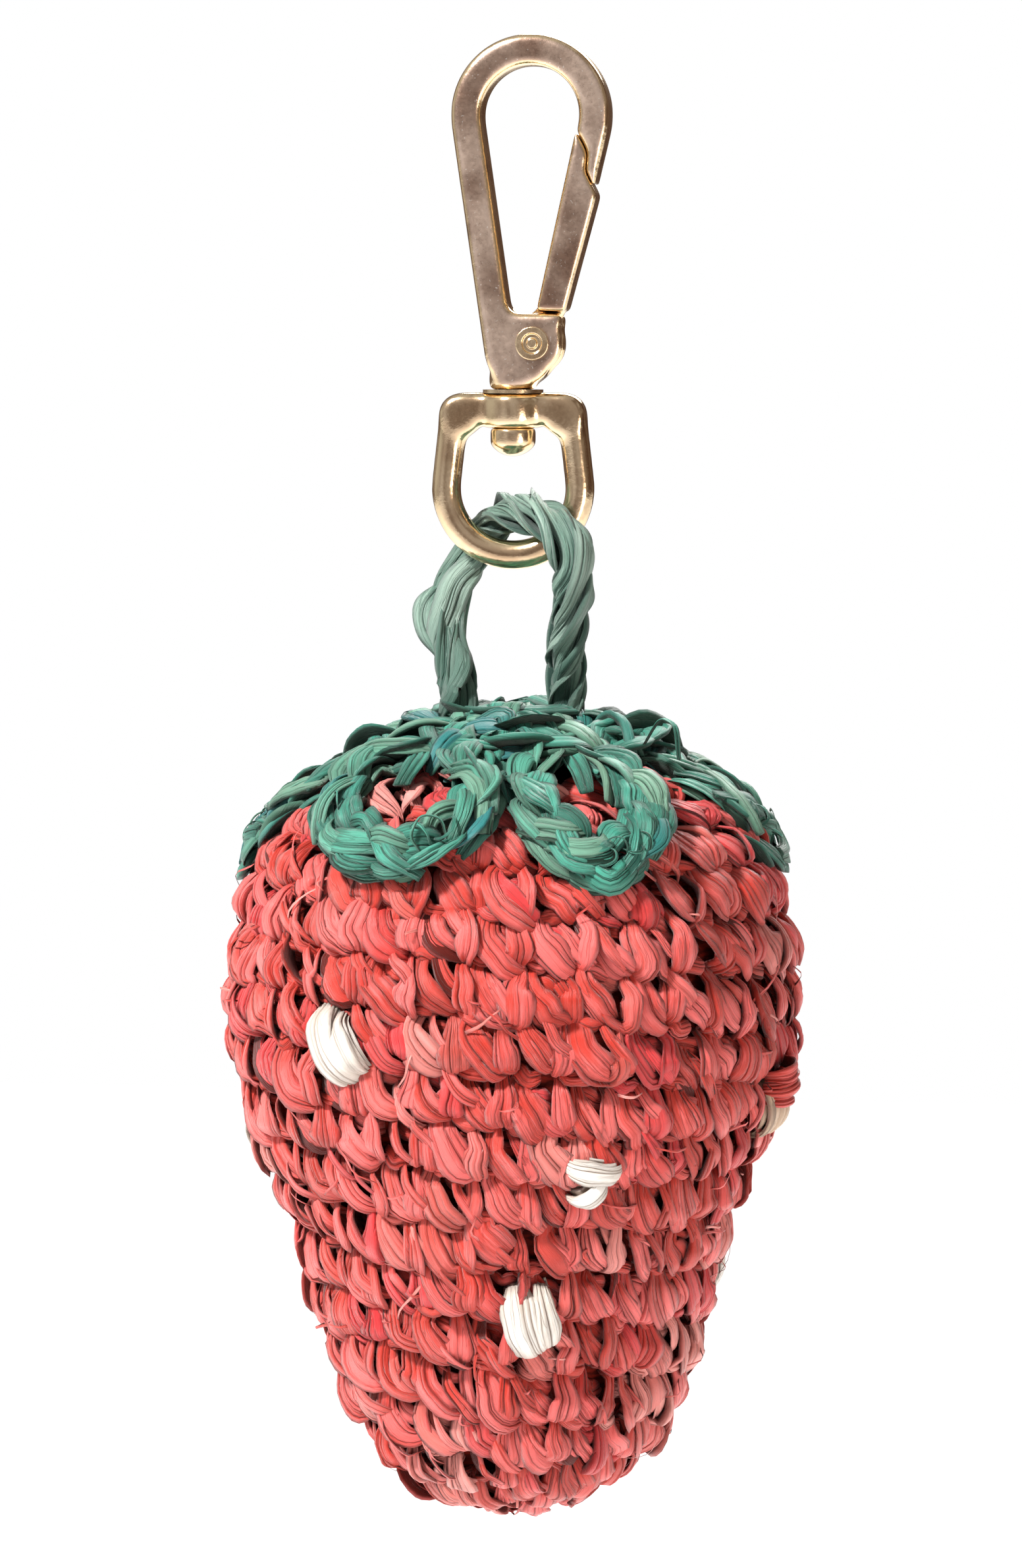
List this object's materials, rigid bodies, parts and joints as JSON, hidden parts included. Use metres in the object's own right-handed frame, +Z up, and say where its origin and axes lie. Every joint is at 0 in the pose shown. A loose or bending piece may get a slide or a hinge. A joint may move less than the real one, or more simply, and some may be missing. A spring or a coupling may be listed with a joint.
{
  "type": "crochet strawberry bag charm keychain",
  "caption": "Crocheted raffia strawberry charm with looped green leaves, hanging by a raffia loop from a brass swivel snap hook with a sprung gate.",
  "frame": {"origin": "centre of the snap hook's bow, where it hangs on a ring or strap", "axes": "+Z up along the hanging charm, +Y through the hook's window from its front to its back, +X towards the gate's side"},
  "size_m": [0.0546, 0.0546, 0.1404],
  "materials": {
    "cast_brass": "satin antique cast face with polished edges",
    "polished_brass": "polished, lightly tarnished",
    "rivet_brass": "polished",
    "spring_steel": "drawn wire",
    "pale_green_raffia": "soft sheen, creased lengthwise",
    "green_raffia": "soft sheen, creased lengthwise",
    "red_raffia": "soft sheen, creased lengthwise",
    "cream_raffia": "soft sheen, creased lengthwise",
    "stuffing": "matte fibre fill"
  },
  "bodies": {
    "hook": {"hook_body": "cast_brass", "gate_rivet": "rivet_brass", "gate_spring": "spring_steel", "swivel_pin": "polished_brass", "swivel_washer": "rivet_brass"},
    "gate": {"gate": "cast_brass"},
    "eye": {"swivel_eye": "polished_brass"},
    "loop": {"hanging_loop": "pale_green_raffia"},
    "berry": {"berry_cover": "red_raffia", "berry_stuffing": "stuffing", "loop_knot": "pale_green_raffia", "calyx_crown": "green_raffia", "leaf_1": "green_raffia", "leaf_2": "green_raffia", "leaf_3": "green_raffia", "leaf_4": "green_raffia", "leaf_5": "green_raffia", "leaf_6": "green_raffia", "seed_1": "cream_raffia", "seed_2": "cream_raffia", "seed_3": "cream_raffia", "seed_4": "cream_raffia", "seed_5": "cream_raffia", "seed_6": "cream_raffia", "seed_7": "cream_raffia", "seed_8": "cream_raffia", "seed_9": "cream_raffia", "seed_10": "cream_raffia"}
  },
  "joints": [
    {"name": "gate_hinge", "type": "hinge", "parent": "hook", "child": "gate", "pos_m": [0.0003, 0, -0.0213], "axis": [0, -1, 0], "range_deg": [0, 22], "stiffness_Nm_per_rad": 0.01, "springref_deg": -68.75, "deforming": ["gate_spring"]},
    {"name": "eye_swivel", "type": "hinge", "parent": "hook", "child": "eye", "pos_m": [-0.0018, 0, -0.0276], "axis": [0, 0, 1], "continuous": true},
    {"name": "loop_slide", "type": "hinge", "parent": "eye", "child": "loop", "pos_m": [-0.0018, 0, -0.0348], "axis": [0, 1, 0], "range_deg": [-40, 40]},
    {"name": "berry_swing", "type": "hinge", "parent": "loop", "child": "berry", "pos_m": [-0.0018, 0, -0.054], "axis": [1, 0, 0], "range_deg": [-45, 45]}
  ]
}
